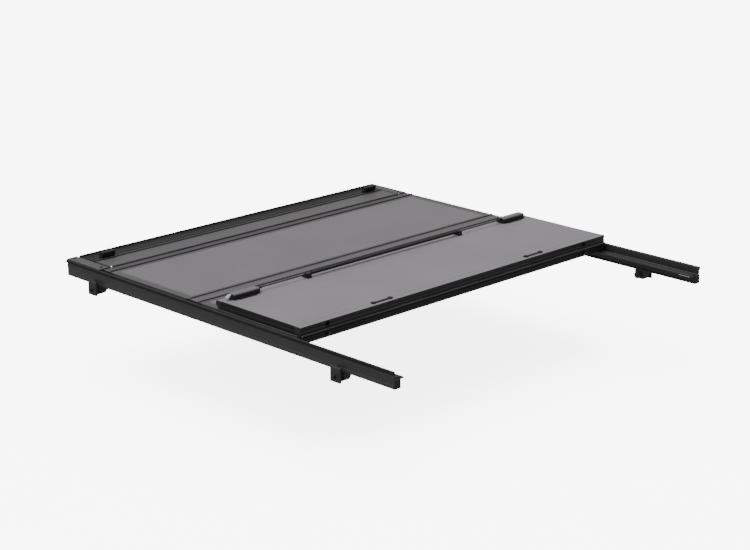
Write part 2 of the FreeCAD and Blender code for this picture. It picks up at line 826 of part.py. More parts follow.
def prop_rod():
    """The right rod as stowed, with an eye at its pivot and a fork that drops over the stud."""
    y, z = PROP_PIVOT_Y, PROP_PIVOT_Z
    end = y - PROP_LENGTH
    eye = rod_x(y, z, EYE_R, PROP_X - 4.6, PROP_X + 4.6)
    shaft = rod_y(PROP_X, z, PROP_R, end + 1, y)
    cross = rod_x(end + 14, z, PROP_R - 1, PROP_X, FORK_INNER + 0.4)
    fork = box((FORK_INNER, FORK_OUTER), (end - 9, end + 20), (z - 8, z + 6))
    slot_r = STUD_R + 0.3
    through = (FORK_INNER - 1.6, FORK_OUTER + 1.4)
    round_end = rod_x(end, z, slot_r, *through)
    mouth = box(through, (end - slot_r, end + slot_r), (z - 20, z))
    stub = rod_x(y, z, AXLE_R + RUNNING, PROP_X - 6, PROP_X + 6)
    whole = fused([eye, shaft, cross, fork])
    return whole.cut(round_end).cut(mouth).cut(stub)


def prop_bracket():
    """The right rod's pivot bracket and the clip that stows its far end."""
    y, z = PROP_PIVOT_Y, PROP_PIVOT_Z
    plate = box((PROP_X - 8.5, PROP_X + 8.5), (y - 12, y + 12), (PANEL_BOTTOM - 1, PANEL_BOTTOM))
    z_free = z + EYE_R + 0.6
    plate = plate.cut(box((PROP_X - 5, PROP_X + 5), (y - 8, y + 8), (z_free - 2, z_free)))
    ears = [box((x, x + 3), (y - 7, y + 7), (z - 6, PANEL_BOTTOM)) for x in (PROP_X - 8.5, PROP_X + 5.5)]
    axle = rod_x(y, z, AXLE_R, PROP_X - 9.5, PROP_X + 9.5)
    clip_y = y - PROP_LENGTH + 45
    along = (clip_y - 9, clip_y + 9)
    pad = box((PROP_X - 7, PROP_X + 7), along, (PANEL_BOTTOM - 2.4, PANEL_BOTTOM))
    fingers = [box((x, x + 2.2), along, (z - 3, PANEL_BOTTOM - 2)) for x in (PROP_X - 7, PROP_X + 4.8)]
    return [fused([plate] + ears + [axle]), fused([pad] + fingers)]


def frame_screws():
    """Cap screws in the header's corners, and the shoulder studs that the prop rods hook on."""
    made = []
    for y in block_screws():
        shank = rod_z(BLOCK_SCREW_X, y, BLOCK_SCREW_R - 0.1, PANEL_TOP - 14, PANEL_TOP + 0.5)
        head = rod_z(BLOCK_SCREW_X, y, BLOCK_SCREW_R + 2.5, PANEL_TOP, PANEL_TOP + 2.4)
        made.append(fused([shank, head]))
    shaft = rod_x(stud_y(), STUD_Z, STUD_R, FORK_INNER - 0.6, WEB_INNER + 2)
    collar = rod_x(stud_y(), STUD_Z, STUD_R + 3, WEB_INNER - 6, WEB_INNER)
    made.append(fused([shaft, collar]))
    return [shape for one in made for shape in both(one)]


def save_frame():
    for name, side in SIDES:
        save("side_rail_" + name, [on_side(side_rail(), side), on_side(rail_flange(), side)])
    save("rail_seals", [shape for seal in rail_seals() for shape in both(seal)])
    save("rail_end_caps", both(rail_end_cap()))
    save("latch_strikers", both(latch_striker()))
    save("header_beam", [header_beam()])
    save("header_end_blocks", both(header_end_block()))
    save("header_bumpers", both(header_bumper()))
    save("bulkhead_seal", [bulkhead_seal()])
    save("header_hinge_pin", [pin(PIVOT_0, PANEL_1_HALF - 4)])
    save("frame_screws", frame_screws())
    save("clamp_bodies", [shape for y in CLAMP_Y for shape in both(clamp_body(y))])


def save_clamps():
    for place, y in zip(("front", "rear"), CLAMP_Y):
        for name, side in SIDES:
            save("clamp_jaw_" + place + "_" + name, [on_side(clamp_jaw(y), side)])
            save("clamp_knob_" + place + "_" + name, [on_side(clamp_knob(y), side)])


def save_panels():
    narrow = PANEL_1_HALF - 4
    wide = PANEL_HALF - 2
    save("panel_1_plate", [panel_1_plate()])
    save("panel_1_end_caps", both(panel_1_end_cap()))
    save("hinge_link_1", [hinge_link(PIVOT_1_FRONT, PIVOT_1_REAR, narrow, wide)])
    save("hinge_1_pins", [pin(PIVOT_1_FRONT, narrow), pin(PIVOT_1_REAR, wide)])
    panel_2()
    save("prop_rod_brackets", [shape for one in prop_bracket() for shape in both(one)])
    for name, side in SIDES:
        save("prop_rod_" + name, [on_side(prop_rod(), side)])
    save("hinge_link_2", [hinge_link(PIVOT_2_FRONT, PIVOT_2_REAR, wide, wide)])
    save("hinge_2_pins", [pin(PIVOT_2_FRONT, wide), pin(PIVOT_2_REAR, wide)])
    panel_3()
    save("panel_3_guide_knobs", both(guide_knob()))
    save("hinge_3_pin", [pin(PIVOT_3, wide)])
    panel_4()


def save_panel_4_fittings():
    save("tailgate_seal", [folded(tailgate_seal())])
    save("latch_housings", [folded(shape) for shape in both(latch_housing())])
    save("cable_clips", [folded(shape) for shape in both(cable_clip())])
    save("fold_bumpers", [folded(shape) for shape in both(fold_bumper())])
    save("panel_4_screws", [folded(shape) for shape in panel_4_screws()])
    save("release_cable", [folded(shape) for shape in both(release_cable())])
    save("release_sleeve", [folded(release_sleeve())])
    for name, side in SIDES:
        save("latch_bolt_" + name, [folded(on_side(latch_bolt(), side))])
        save("latch_spring_" + name, [folded(on_side(latch_spring(), side))])


os.makedirs("parts", exist_ok=True)
save_frame()
save_clamps()
save_panels()
save_panel_4_fittings()
print("prop rod swing %.3f degrees, stud at y %.3f" % (prop_swing(), stud_y()))
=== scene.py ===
import json
import math

import bmesh
import bpy
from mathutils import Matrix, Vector
from mathutils.geometry import tessellate_polygon


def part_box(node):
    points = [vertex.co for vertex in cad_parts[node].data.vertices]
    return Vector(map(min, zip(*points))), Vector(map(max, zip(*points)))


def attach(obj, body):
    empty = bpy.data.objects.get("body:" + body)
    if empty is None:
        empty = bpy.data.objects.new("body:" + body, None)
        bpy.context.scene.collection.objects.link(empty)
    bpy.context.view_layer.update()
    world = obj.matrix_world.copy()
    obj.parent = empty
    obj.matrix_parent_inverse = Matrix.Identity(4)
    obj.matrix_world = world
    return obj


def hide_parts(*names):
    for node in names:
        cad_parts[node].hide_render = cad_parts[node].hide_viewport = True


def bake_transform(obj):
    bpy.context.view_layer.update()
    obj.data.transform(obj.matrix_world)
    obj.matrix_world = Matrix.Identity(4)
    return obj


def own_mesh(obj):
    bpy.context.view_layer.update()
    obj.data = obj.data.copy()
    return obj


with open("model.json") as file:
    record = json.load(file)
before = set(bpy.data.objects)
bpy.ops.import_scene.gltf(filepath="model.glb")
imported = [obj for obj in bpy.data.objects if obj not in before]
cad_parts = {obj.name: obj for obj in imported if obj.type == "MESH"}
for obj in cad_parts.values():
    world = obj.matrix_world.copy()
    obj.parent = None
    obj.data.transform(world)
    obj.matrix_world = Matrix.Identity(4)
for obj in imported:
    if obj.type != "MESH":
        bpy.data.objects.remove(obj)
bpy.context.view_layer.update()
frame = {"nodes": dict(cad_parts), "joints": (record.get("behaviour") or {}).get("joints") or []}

MM = 0.001
JOINTS = {j["name"]: j for j in frame["joints"]}


def axis_y(joint):
    return JOINTS[joint]["pos_m"][1]


# Places that the frame gives
PIVOT_Z = JOINTS["rear_panel_hinge"]["pos_m"][2]
PIVOT_0 = axis_y("header_hinge")
PIVOT_1F = axis_y("link_1_front")
PIVOT_1R = axis_y("link_1_rear")
PIVOT_2F = axis_y("link_2_front")
PIVOT_2R = axis_y("link_2_rear")
PIVOT_3 = axis_y("rear_panel_hinge")
PANEL_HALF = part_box("panel_2_front_rail")[1].x
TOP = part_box("panel_2_side_frames")[1].z
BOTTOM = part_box("panel_2_bottom_skin")[0].z
NARROW_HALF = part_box("panel_1_end_caps")[1].x
GUIDE_LOW, GUIDE_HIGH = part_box("panel_3_guide_knobs")
SIDES = (("left", -1), ("right", 1))

# Stage: the floor's height, and the camera
FLOOR_Z = -0.42
CAMERA_PLACE = (-4.6855, -5.5046, 2.0004)
CAMERA_AIM = (-0.02, -0.79, -0.045)
CAMERA_LENS = 91.5
CAMERA_SENSOR = 36

# Windows in panel 4's front rail, for the guide knobs on panel 3
GUIDE_R = (GUIDE_HIGH.z - GUIDE_LOW.z) / 2
GUIDE_X = GUIDE_HIGH.x - GUIDE_R
WINDOW_LOW = GUIDE_LOW.z - 2.5 * MM
WINDOW_HIGH = GUIDE_HIGH.z + 1.5 * MM
WINDOW_DEEP = 10 * MM
WINDOW_HALF = 9 * MM

# Header
SEAT_HALF = 15 * MM
HEADER_THICK = 2.5 * MM
REEDS = (4 * MM, -8 * MM, -36 * MM)

# Cross rails of the panels
RAIL_WIDTH = 15 * MM
PANEL_4_FRONT_RAIL = 28 * MM
PANEL_4_REAR_RAIL = 22 * MM

# Edges that turn more than this many degrees look sharp
SHARP = 35.0

# Hinge sizes, the same as in the CAD
GAP = 4.25 * MM
BARREL_R = 3.6 * MM
KNUCKLES = 11
KNUCKLE_END_GAP = 0.4 * MM
PIN_BORE = 1.8 * MM
LEAF_TOP = TOP - 0.05 * MM

# Side rail: heights of its grooves and recess, and the foot and chamber from its inner edge
GROOVE_HIGH = -20 * MM
GROOVE_LOW = -55 * MM
GROOVE_HALF = 1.1 * MM
GROOVE_DEEP = 0.9 * MM
RECESS_HIGH = -26 * MM
RECESS_LOW = -49 * MM
RECESS_DEEP = 0.6 * MM
SEAL_LOW = -14 * MM
RAIL_WALL = 3 * MM
RAIL_LIP = 2.5 * MM
RAIL_FOOT = 15 * MM
RAIL_WEB = 22 * MM

# Latch springs
COIL_TURNS = 9
COIL_STEPS = 24
COIL_SIDES = 10
COIL_WIRE_R = 0.6 * MM


# ---------------------------------------------------------------- materials


class Nodes:
    """A material's node tree, with short ways to add and join nodes."""

    def __init__(self, name):
        self.material = bpy.data.materials.new(name)
        self.material.use_nodes = True
        self.tree = self.material.node_tree
        self.shader = self.tree.nodes["Principled BSDF"]
        self.place = self.tree.nodes.new("ShaderNodeTexCoord").outputs["Object"]

    def add(self, kind, **inputs):
        node = self.tree.nodes.new(kind)
        for key, value in inputs.items():
            node.inputs[key.replace("_", " ")].default_value = value
        return node

    def join(self, source, target):
        self.tree.links.new(source, target)

    def stretched(self, x, y, z):
        mapping = self.tree.nodes.new("ShaderNodeMapping")
        mapping.inputs["Scale"].default_value = (x, y, z)
        self.join(self.place, mapping.inputs["Vector"])
        return mapping.outputs["Vector"]

    def noise(self, scale, detail=3.0, rough=0.5, place=None):
        node = self.add("ShaderNodeTexNoise", Scale=scale, Detail=detail, Roughness=rough)
        self.join(place or self.place, node.inputs["Vector"])
        return node.outputs["Fac"]

    def cells(self, scale):
        node = self.add("ShaderNodeTexVoronoi", Scale=scale)
        self.join(self.place, node.inputs["Vector"])
        return node.outputs["Distance"]

    def between(self, source, low, high, start=0.0, end=1.0):
        node = self.tree.nodes.new("ShaderNodeMapRange")
        node.inputs["From Min"].default_value = start
        node.inputs["From Max"].default_value = end
        node.inputs["To Min"].default_value = low
        node.inputs["To Max"].default_value = high
        self.join(source, node.inputs["Value"])
        return node.outputs["Result"]

    def shades(self, source, first, second, start=0.3, end=0.7):
        ramp = self.tree.nodes.new("ShaderNodeValToRGB")
        ramp.color_ramp.elements[0].position = start
        ramp.color_ramp.elements[1].position = end
        ramp.color_ramp.elements[0].color = (*first, 1)
        ramp.color_ramp.elements[1].color = (*second, 1)
        self.join(source, ramp.inputs["Fac"])
        return ramp.outputs["Color"]

    def bump(self, height, depth, strength=1.0, under=None):
        node = self.tree.nodes.new("ShaderNodeBump")
        node.inputs["Distance"].default_value = depth
        node.inputs["Strength"].default_value = strength
        self.join(height, node.inputs["Height"])
        if under:
            self.join(under, node.inputs["Normal"])
        return node.outputs["Normal"]

    def finish(self, colour=None, rough=None, normal=None, **constants):
        if colour:
            self.join(colour, self.shader.inputs["Base Color"])
        if rough:
            self.join(rough, self.shader.inputs["Roughness"])
        if normal:
            self.join(normal, self.shader.inputs["Normal"])
        for key, value in constants.items():
            self.shader.inputs[key.replace("_", " ")].default_value = value
        return self.material


# How far the coats lean to red and blue
TINT = 0.028


def grey(value, warm=0.0):
    """A near neutral colour; a positive warm leans to red and blue, as the coat does."""
    return (value * (1 + warm), value * (1 - warm), value * (1 + warm))


def powder_coat(name, shade):
    """Textured powder coat: a pebbled surface under faint clouds of shade."""
    rough = 0.55
    grain = 0.10 * MM
    spread = 0.07
    n = Nodes(name)
    clouds = n.noise(3.0, 4.0, 0.6)
    pebbles = n.cells(900.0)
    fine = n.noise(2200.0, 2.0, 0.6)
    soft = n.noise(160.0, 3.0, 0.6)
    mixed = n.add("ShaderNodeMath")
    mixed.operation = "MULTIPLY_ADD"
    n.join(soft, mixed.inputs[0])
    mixed.inputs[1].default_value = 0.35
    n.join(clouds, mixed.inputs[2])
    dark = grey(shade * (1 - spread), TINT)
    light = grey(shade * (1 + spread), TINT)
    colour = n.shades(mixed.outputs[0], dark, light, 0.45, 0.9)
    roughness = n.between(soft, rough - 0.06, rough + 0.06, 0.3, 0.7)
    normal = n.bump(fine, grain * 0.5, 0.5, under=n.bump(pebbles, grain, 0.7))
    return n.finish(colour, roughness, normal, Specular_IOR_Level=0.2)


def satin_extrusion(name, shade, rough=0.4, along=(1.0, 1.0, 1.0), gloss=0.18):
    """Coated extrusion, with faint die lines along its length."""
    n = Nodes(name)
    lines = n.noise(500.0, 2.0, 0.5, n.stretched(*along))
    clouds = n.noise(6.0, 3.0, 0.6)
    colour = n.shades(clouds, grey(shade * 0.92, TINT), grey(shade * 1.08, TINT))
    roughness = n.between(lines, rough - 0.07, rough + 0.08)
    fine = n.noise(1500.0, 2.0, 0.5)
    normal = n.bump(fine, 0.03 * MM, 0.4, under=n.bump(lines, 0.05 * MM, 0.35))
    return n.finish(colour, roughness, normal, Specular_IOR_Level=gloss)


def rubber(name, shade=0.006):
    """Matt rubber with a dry, dusty bloom."""
    n = Nodes(name)
    bloom = n.noise(45.0, 4.0, 0.65)
    fine = n.noise(1300.0, 2.0, 0.6)
    colour = n.shades(bloom, grey(shade), grey(shade * 1.9), 0.35, 0.75)
    roughness = n.between(bloom, 0.62, 0.85)
    return n.finish(colour, roughness, n.bump(fine, 0.06 * MM, 0.6), Specular_IOR_Level=0.12)


def moulded(name, shade):
    """Moulded nylon with a spark-eroded grain."""
    rough = 0.5
    n = Nodes(name)
    grain = n.cells(1400.0)
    clouds = n.noise(30.0, 3.0, 0.6)
    colour = n.shades(clouds, grey(shade * 0.9), grey(shade * 1.15))
    roughness = n.between(clouds, rough - 0.05, rough + 0.07)
    return n.finish(colour, roughness, n.bump(grain, 0.07 * MM, 0.6), Specular_IOR_Level=0.2)


def plated(name, colour, rough, scratches=0.02):
    """Plated steel with fine turning marks and faint smears."""
    n = Nodes(name)
    marks = n.noise(900.0, 2.0, 0.5, n.stretched(0.15, 1.0, 1.0))
    smears = n.noise(60.0, 4.0, 0.7)
    tint = n.shades(smears, tuple(c * 0.9 for c in colour), colour, 0.3, 0.8)
    roughness = n.between(smears, rough, rough + 0.12)
    return n.finish(tint, roughness, n.bump(marks, scratches * MM, 0.4), Metallic=1.0)


def cast(name, shade):
    """A black coated casting with an uneven skin."""
    n = Nodes(name)
    lumps = n.noise(260.0, 4.0, 0.65)
    fine = n.noise(1500.0, 2.0, 0.6)
    colour = n.shades(lumps, grey(shade * 0.8), grey(shade * 1.25))
    roughness = n.between(lumps, 0.45, 0.62)
    normal = n.bump(fine, 0.05 * MM, 0.4, under=n.bump(lumps, 0.25 * MM, 0.6))
    return n.finish(colour, roughness, normal, Specular_IOR_Level=0.2)


def twin_wall(name):
    """Natural polypropylene sheet, a little see-through, with its flutes showing."""
    n = Nodes(name)
    flutes = n.noise(60.0, 1.0, 0.4, n.stretched(0.02, 1.0, 1.0))
    colour = n.shades(flutes, (0.62, 0.62, 0.59), (0.78, 0.78, 0.75))
    return n.finish(colour, n.between(flutes, 0.35, 0.5), Subsurface_Weight=0.1)


COAT = powder_coat("panel_coat", 0.052)
BACK_COAT = powder_coat("panel_back_coat", 0.072)
# Panel 1's plate: its own coat, darkened as painted shade of the cab, which is not in the scene
STRIP_COAT_AND_PAINTED_SHADE = powder_coat("panel_strip_coat_and_painted_shade", 0.029)
BORDER = satin_extrusion("border_coat", 0.027, 0.5, (1.0, 0.02, 1.0))
# The header and the two hinge links: their own coats, darkened as painted shade of the cab, darkest at the
# header and lightest at link 2
HEADER_COAT_AND_PAINTED_SHADE = satin_extrusion("header_coat_and_painted_shade", 0.004, 0.5, (0.02, 1.0, 1.0), 0.1)
LINK_1_COAT_AND_PAINTED_SHADE = satin_extrusion("link_1_coat_and_painted_shade", 0.021, 0.5, (0.02, 1.0, 1.0))
LINK_2_COAT_AND_PAINTED_SHADE = satin_extrusion("link_2_coat_and_painted_shade", 0.036, 0.5, (0.02, 1.0, 1.0))
CROSS_COAT = satin_extrusion("cross_rail_coat", 0.032, 0.5, (0.02, 1.0, 1.0))
HINGE_COAT = satin_extrusion("hinge_coat", 0.019, 0.45, (0.02, 1.0, 1.0))
# The rails of the folded stack: a near-black copy of the cross rails' coat, as painted shade
STACK_RAIL_PAINTED_SHADE = satin_extrusion("stack_rail_painted_shade", 0.012, 0.42, (0.02, 1.0, 1.0), 0.15)
# Panel 4's side frames: a near-black copy of the side frames' border coat, as painted shade
STACK_SIDE_PAINTED_SHADE = satin_extrusion("stack_side_painted_shade", 0.005, 0.42, (1.0, 0.02, 1.0), 0.12)
RAIL_COAT = satin_extrusion("rail_anodised", 0.014, 0.38, (1.0, 0.02, 1.0), 0.25)
RUBBER = rubber("seal_rubber")
NYLON = moulded("black_nylon", 0.006)
GREY_NYLON = moulded("grey_nylon", 0.024)
# Latch cover tops: partly a coated cover plate, partly a painted highlight on the lit tops
LATCH_TOP_COAT_AND_HIGHLIGHT = powder_coat("latch_top_coat_and_painted_highlight", 0.052)
CAST = cast("black_casting", 0.012)
CHROME = plated("bright_plate", (0.86, 0.86, 0.87), 0.08)
ZINC = plated("zinc_plate", (0.62, 0.62, 0.63), 0.28, 0.04)
BLACK_STEEL = plated("black_steel", (0.05, 0.05, 0.052), 0.35, 0.04)
CORE = twin_wall("core_sheet")


# ---------------------------------------------------------------- mesh helpers


def rounded(corners, steps=4):
    """An outline from (a, b, radius) corners, with each radius above 0 drawn as an arc."""
    made = []
    for i, (a, b, radius) in enumerate(corners):
        here = Vector((a, b))
        if radius <= 0:
            made.append(here)
            continue
        before = (Vector(corners[i - 1][:2]) - here).normalized()
        after = (Vector(corners[(i + 1) % len(corners)][:2]) - here).normalized()
        half = before.angle(after) / 2
        reach = radius / math.tan(half)
        middle = here + (before + after).normalized() * (radius / math.sin(half))
        start = here + before * reach - middle
        end = here + after * reach - middle
        first = math.atan2(start.y, start.x)
        sweep = (math.atan2(end.y, end.x) - first + math.pi) % (2 * math.pi) - math.pi
        for k in range(steps + 1):
            turn = first + sweep * k / steps
            made.append(middle + radius * Vector((math.cos(turn), math.sin(turn))))
    return made


def at_axis(axis, along, a, b):
    """A point from its place along one axis and the two other coordinates, in order."""
    return {"x": (along, a, b), "y": (a, along, b), "z": (a, b, along)}[axis]


def add_loft(bm, axis, stations):
    """A closed bar through outlines with the same number of points, each at its place along the axis."""
    rings = [[bm.verts.new(at_axis(axis, along, *p)) for p in outline] for along, outline in stations]
    count = len(rings[0])
    for low, high in zip(rings, rings[1:]):
        for i in range(count):
            k = (i + 1) % count
            bm.faces.new((low[i], low[k], high[k], high[i]))
    bm.faces.new(rings[0])
    bm.faces.new(rings[-1][::-1])


def add_bar(bm, outline, axis, start, end):
    """A closed bar: an outline pushed along an axis."""
    add_loft(bm, axis, [(start, outline), (end, outline)])


def add_hollow_bar(bm, lines, axis, start, end):
    """A bar with holes through it: its outer outline first, then one for each hole."""
    triangles = tessellate_polygon([[Vector((*p, 0)) for p in line] for line in lines])
    ends = []
    for along in (start, end):
        ring = [bm.verts.new(at_axis(axis, along, *p)) for line in lines for p in line]
        for corners in triangles:
            bm.faces.new([ring[i] for i in corners])
        ends.append(ring)
    low, high = ends
    first = 0
    for line in lines:
        for i in range(len(line)):
            a = first + i
            b = first + (i + 1) % len(line)
            bm.faces.new((low[a], low[b], high[b], high[a]))
        first += len(line)


def circle(a, b, radius, sides=24):
    turns = [2 * math.pi * k / sides for k in range(sides)]
    return [Vector((a + radius * math.cos(t), b + radius * math.sin(t))) for t in turns]


def add_turned(bm, profile, axis, centre, sides, direction):
    """A lathe shape from (distance along the axis, radius) points, closed by flat ends."""
    rings = []
    for along, radius in profile:
        ring = []
        for k in range(sides):
            turn = 2 * math.pi * k / sides
            a = centre[1] + radius * math.cos(turn)
            b = centre[2] + radius * math.sin(turn)
            ring.append(bm.verts.new(at_axis(axis, centre[0] + direction * along, a, b)))
        rings.append(ring)
    for low, high in zip(rings, rings[1:]):
        for k in range(sides):
            j = (k + 1) % sides
            bm.faces.new((low[k], low[j], high[j], high[k]))
    bm.faces.new(rings[0])
    bm.faces.new(rings[-1][::-1])


def number_from(bm, first, index):
    """Gives the faces made since a count another of the piece's materials."""
    bm.faces.ensure_lookup_table()
    for face in bm.faces[first:]:
        face.material_index = index


def paint(bm, index, test):
    """Gives the faces that pass a test on their normal and middle another of the piece's materials."""
    bm.normal_update()
    for face in bm.faces:
        if test(face.normal, face.calc_center_median()):
            face.material_index = index


def piece(name, bm, body, materials, nodes=(), smooth=SHARP):
    """Turns a bmesh into a piece that rides on a body, or on none."""
    bmesh.ops.recalc_face_normals(bm, faces=bm.faces)
    mesh = bpy.data.meshes.new(name)
    bm.to_mesh(mesh)
    bm.free()
    for material in materials:
        mesh.materials.append(material)
    mesh.shade_smooth()
    mesh.set_sharp_from_angle(angle=math.radians(smooth))
    made = bpy.data.objects.new(name, mesh)
    bpy.context.scene.collection.objects.link(made)
    if body:
        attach(made, body)
    if nodes:
        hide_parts(*nodes)
    return made


def eased(made, width):
    """A small bevel on the sharp edges of a piece."""
    bevel = made.modifiers.new("edges", "BEVEL")
    bevel.width = width
    bevel.segments = 2
    bevel.limit_method = "ANGLE"
    bevel.angle_limit = math.radians(SHARP)
    made.modifiers.new("shading", "WEIGHTED_NORMAL").keep_sharp = False
    return made


def turned_over(bm):
    """Takes a mesh drawn closed to panel 4's place, folded back on panel 3."""
    for v in bm.verts:
        v.co.y = 2 * PIVOT_3 - v.co.y
        v.co.z = 2 * PIVOT_Z - v.co.z
    return bm


# ---------------------------------------------------------------- CAD nodes that stay


def keep(node, material, edge):
    """A CAD node whose shape is right: a material, and its sharp edges broken by a small bevel."""
    made = frame["nodes"][node]
    mesh = made.data
    mesh.materials.clear()
    mesh.materials.append(material)
    if "custom_normal" in mesh.attributes:
        mesh.attributes.remove(mesh.attributes["custom_normal"])
    mesh.shade_smooth()
    weld = made.modifiers.new("weld", "WELD")
    weld.merge_threshold = 0.005 * MM
    if edge:
        flat = made.modifiers.new("flat", "DECIMATE")
        flat.decimate_type = "DISSOLVE"
        flat.angle_limit = math.radians(1.0)
    eased(made, edge or 0.15 * MM)
    return made


KEPT = {
    "panel_2_top_skin": (COAT, 0.3),
    "panel_3_top_skin": (COAT, 0.3),
    "panel_4_top_skin": (COAT, 0.3),
    "panel_2_bottom_skin": (BACK_COAT, 0.3),
    "panel_3_bottom_skin": (BACK_COAT, 0.3),
    "panel_4_bottom_skin": (BACK_COAT, 0.3),
    "panel_2_core": (CORE, 0),
    "panel_3_core": (CORE, 0),
    "panel_4_core": (CORE, 0),
    "panel_2_side_frames": (BORDER, 0.6),
    "panel_3_side_frames": (BORDER, 0.6),
    # Painted shade: panel 4's side frames take a near-black copy of the border coat
    "panel_4_side_frames": (STACK_SIDE_PAINTED_SHADE, 0.6),
    "panel_1_end_caps": (NYLON, 0.8),
    "header_end_blocks": (GREY_NYLON, 1.2),
    "header_bumpers": (RUBBER, 2.0),
    "header_hinge_pin": (ZINC, 0),
    "hinge_1_pins": (ZINC, 0),
    "hinge_2_pins": (ZINC, 0),
    "hinge_3_pin": (ZINC, 0),
    "rail_seals": (RUBBER, 0.8),
    "rail_end_caps": (NYLON, 1.0),
    "latch_strikers": (ZINC, 0.4),
    "latch_housings": (NYLON, 1.2),
    "latch_bolt_left": (CHROME, 0.6),
    "latch_bolt_right": (CHROME, 0.6),
    "release_cable": (BLACK_STEEL, 0),
    "release_sleeve": (NYLON, 0),
    "cable_clips": (NYLON, 0.8),
    "fold_bumpers": (RUBBER, 0.8),
    "panel_3_guide_knobs": (RUBBER, 0),
    "panel_4_screws": (BLACK_STEEL, 0),
    "frame_screws": (BLACK_STEEL, 0),
    "prop_rod_left": (BLACK_STEEL, 0),
    "prop_rod_right": (BLACK_STEEL, 0),
    "prop_rod_brackets": (BLACK_STEEL, 0.3),
    "clamp_bodies": (CAST, 1.2),
}


def keep_nodes():
    for node, (material, edge) in KEPT.items():
        keep(node, material, edge * MM)
    for place in ("front", "rear"):
        for side, _ in SIDES:
            keep("clamp_jaw_" + place + "_" + side, CAST, 1.0 * MM)
            keep("clamp_knob_" + place + "_" + side, NYLON, 0)


def coat_and_highlight_latch_tops():
    """The flat tops of the latches' covers have the panels' coat: partly a coated cover plate, partly a
    painted highlight on the lit tops above the black sides.
    """
    mesh = frame["nodes"]["latch_housings"].data
    mesh.materials.append(LATCH_TOP_COAT_AND_HIGHLIGHT)
    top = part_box("latch_housings")[1].z
    for face in mesh.polygons:
        if face.normal.z > 0.5 and face.center.z > top - 6 * MM:
            face.material_index = 1


# ---------------------------------------------------------------- rails with hinges


def knuckle_outline(pivot, forward):
    """A barrel with its leaf."""
    side = 1 if forward else -1
    first = -math.asin((PIVOT_Z - LEAF_TOP) / BARREL_R)
    steps = 28
    turns = [first + (1.5 * math.pi - first) * k / steps for k in range(steps + 1)]
    r = BARREL_R
    outline = [Vector((pivot + side * r * math.cos(t), PIVOT_Z + r * math.sin(t))) for t in turns]
    inside = pivot + side * (GAP + 0.9 * MM)
    return outline + [Vector((inside, PIVOT_Z - BARREL_R)), Vector((inside, LEAF_TOP))]


def add_knuckles(bm, pivot, half, forward):
    """Every other barrel of a piano hinge, each with its leaf and a bore for the pin."""
    step = 2 * half / KNUCKLES
    lines = [knuckle_outline(pivot, forward), circle(pivot, PIVOT_Z, PIN_BORE)]
    first = len(bm.faces)
    for i in range(0 if forward else 1, KNUCKLES, 2):
        start = -half + i * step + KNUCKLE_END_GAP
        end = -half + (i + 1) * step - KNUCKLE_END_GAP
        add_hollow_bar(bm, lines, "x", start, end)
    number_from(bm, first, 1)


def rail_corners(low, high, window=False):
    """A cross rail's section: a rounded box with a rolled groove along both faces, or with a window's pocket
    in place of the high face's groove."""
    mid = (TOP + BOTTOM) / 2
    wide = 4.4 * MM
    deep = 2.4 * MM
    r = 0.45 * MM
    groove = [
        (high, mid - wide, r),
        (high - deep, mid - wide + deep, r),
        (high - deep, mid + wide - deep, r),
        (high, mid + wide, r),
    ]
    if window:
        back = high - WINDOW_DEEP
        groove = [
            (high, WINDOW_LOW, r),
            (back, WINDOW_LOW, r),
            (back, WINDOW_HIGH, r),
            (high, WINDOW_HIGH, r),
        ]
    return [
        (low, TOP, 0.8 * MM),
        (low, mid + wide, r),
        (low + deep, mid + wide - deep, r),
        (low + deep, mid - wide + deep, r),
        (low, mid - wide, r),
        (low, BOTTOM, 1.4 * MM),
        (high, BOTTOM, 1.4 * MM),
        *groove,
        (high, TOP, 0.8 * MM),
    ]


def add_end_plugs(bm, low, high, half):
    """A moulded plug in each open end of a rail, standing a little proud."""
    inset = 2.0 * MM
    outline = rounded([
        (low + inset, TOP - inset, 1.5 * MM),
        (low + inset, BOTTOM + inset, 1.5 * MM),
        (high - inset, BOTTOM + inset, 1.5 * MM),
        (high - inset, TOP - inset, 1.5 * MM),
    ])
    first = len(bm.faces)
    for side in (-1, 1):
        add_bar(bm, outline, "x", side * (half - 2 * MM), side * (half + 0.7 * MM))
    number_from(bm, first, 2)


def painted_highlight_flank(normal, middle):
    """The sloped sides of the grooves that look up and to the rear in the folded stack; they take the lighter
    hinge coat as a painted highlight.
    """
    return normal.z > 0.5 and normal.y < -0.5 and BOTTOM + 3 * MM < middle.z < TOP - 3 * MM


def cross_rail(name, body, low, high, half, hinges, materials, turn=False, windows=()):
    """A hinge-bearing rail in place of the CAD node with the same name. Its windows open in its high face."""
    plain = rounded(rail_corners(low, high))
    pocket = rounded(rail_corners(low, high, True))
    stations = [(-half, plain)]
    for middle in windows:
        start = middle - WINDOW_HALF
        end = middle + WINDOW_HALF
        stations += [(start, plain), (start, pocket), (end, pocket), (end, plain)]
    bm = bmesh.new()
    add_loft(bm, "x", stations + [(half, plain)])
    bmesh.ops.remove_doubles(bm, verts=bm.verts, dist=0.001 * MM)
    for pivot, reach, forward in hinges:
        add_knuckles(bm, pivot, reach, forward)
    add_end_plugs(bm, low, high, half)
    # Painted highlight: groove sides that look up in the folded stack take material 1, the lighter hinge coat
    if turn:
        paint(bm, 1, lambda normal, middle: painted_highlight_flank(-normal, middle))
        paint(bm, 3, lambda normal, middle: normal.z < -0.7 and middle.z < BOTTOM + 0.5 * MM)
        turned_over(bm)
    elif STACK_RAIL_PAINTED_SHADE in materials:
        paint(bm, 1, painted_highlight_flank)
    return eased(piece(name + "_rail", bm, body, materials, [name]), 0.25 * MM)


